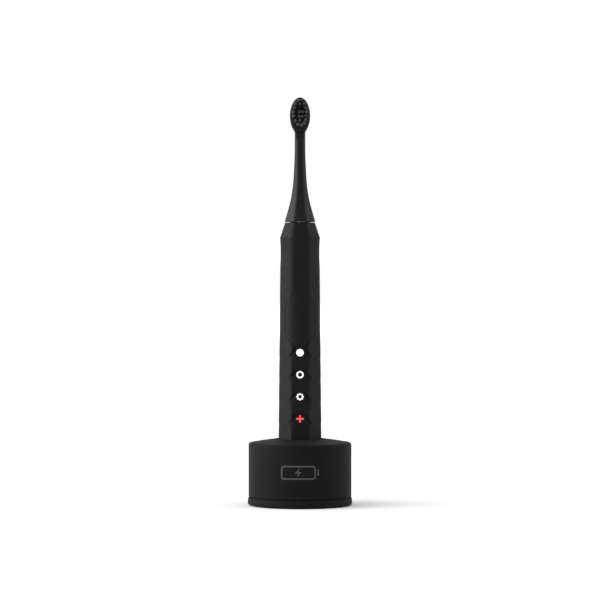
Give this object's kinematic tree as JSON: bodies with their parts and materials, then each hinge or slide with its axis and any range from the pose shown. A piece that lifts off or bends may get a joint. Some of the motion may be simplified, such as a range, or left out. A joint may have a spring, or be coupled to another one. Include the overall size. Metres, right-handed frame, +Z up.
{
  "type": "electric toothbrush on charger",
  "caption": "Electric toothbrush standing in a round induction charger: faceted waisted handle, arched push button, lit mode icons and a pull-off oval brush head.",
  "frame": {"origin": "middle of the charger's foot, on the surface that it stands on", "axes": "+Z up along the brush, the bristles and the button face -Y, the power inlet faces +Y"},
  "size_m": [0.0712, 0.0712, 0.2772],
  "materials": {
    "base_plastic": "fine matte",
    "cover_plastic": "fine matte",
    "handle_plastic": "soft-touch matte",
    "button_plastic": "soft-touch matte",
    "head_plastic": "fine matte",
    "foot_rubber": "matte",
    "gasket_rubber": "matte",
    "seal_rubber": "matte",
    "screw_steel": "zinc plated",
    "inlet_steel": "drawn",
    "circuit_board": "solder mask",
    "component_plastic": "moulded",
    "ferrite": "sintered",
    "bobbin_plastic": "natural nylon",
    "copper_winding": "enamelled wire",
    "white_window": "translucent",
    "red_window": "translucent",
    "cap_plastic": "fine matte",
    "cradle_plastic": "natural",
    "cell_wrap": "shrink wrap",
    "nickel_strip": "rolled",
    "lamp_lens": "clear",
    "mask_plastic": "matte",
    "switch_plastic": "moulded",
    "plunger_plastic": "moulded",
    "motor_steel": "deep drawn",
    "bearing_bronze": "sintered",
    "shaft_steel": "ground",
    "magnet": "nickel plated",
    "sleeve_plastic": "natural acetal",
    "clip_steel": "spring steel",
    "outer_nylon": "nylon bristle",
    "inner_nylon": "nylon bristle"
  },
  "bodies": {
    "charger_base": {"base_housing": "base_plastic", "bottom_cover": "cover_plastic", "foot_pad": "foot_rubber", "cover_screws": "screw_steel", "charger_board": "circuit_board", "board_screws": "screw_steel", "board_components": "component_plastic", "charging_inlet": "inlet_steel", "ferrite_core": "ferrite", "coil_bobbin": "bobbin_plastic", "charging_coil": "copper_winding"},
    "handle": {"handle_housing": "handle_plastic", "button_gasket": "gasket_rubber", "indicator_dot": "white_window", "indicator_ring": "white_window", "indicator_gear": "white_window", "indicator_plus": "red_window", "end_cap": "cap_plastic", "end_cap_seal": "seal_rubber", "receiver_bobbin": "bobbin_plastic", "receiver_coil": "copper_winding", "cell_cradle": "cradle_plastic", "battery_cell": "cell_wrap", "battery_tabs": "nickel_strip", "main_board": "circuit_board", "main_board_screws": "screw_steel", "board_chips": "component_plastic", "indicator_lamps": "lamp_lens", "lamp_mask": "mask_plastic", "switch_body": "switch_plastic", "motor_can": "motor_steel", "motor_coil": "copper_winding", "rear_bearing": "bearing_bronze", "front_bearing": "bearing_bronze", "motor_mount": "gasket_rubber", "nose_ring": "cradle_plastic", "shaft_seal": "seal_rubber"},
    "power_button": {"power_button": "button_plastic"},
    "switch_plunger": {"switch_plunger": "plunger_plastic"},
    "drive": {"drive_shaft": "shaft_steel", "rotor_magnet": "magnet"},
    "brush_head": {"head_body": "head_plastic", "coupling_sleeve": "sleeve_plastic", "retaining_clip": "clip_steel", "outer_tufts": "outer_nylon", "inner_tufts": "inner_nylon"}
  },
  "joints": [
    {"name": "brush_lift", "type": "slide", "parent": "charger_base", "child": "handle", "axis": [0, 0, 1], "range_m": [0, 0.05]},
    {"name": "button_press", "type": "slide", "parent": "handle", "child": "power_button", "axis": [0, 1, 0], "range_m": [0, 0.0004], "stiffness_N_per_m": 800},
    {"name": "switch_press", "type": "slide", "parent": "handle", "child": "switch_plunger", "axis": [0, 1, 0], "range_m": [0, 0.0004]},
    {"name": "shaft_sweep", "type": "hinge", "parent": "handle", "child": "drive", "pos_m": [0, 0, 0.19], "axis": [0, 0, 1], "range_deg": [-5, 5], "stiffness_Nm_per_rad": 0.02},
    {"name": "head_pull", "type": "slide", "parent": "drive", "child": "brush_head", "axis": [0, 0, 1], "range_m": [0, 0.03]}
  ],
  "couplings": [
    {"joint": "switch_press", "follows": "button_press", "ratio": 1}
  ]
}
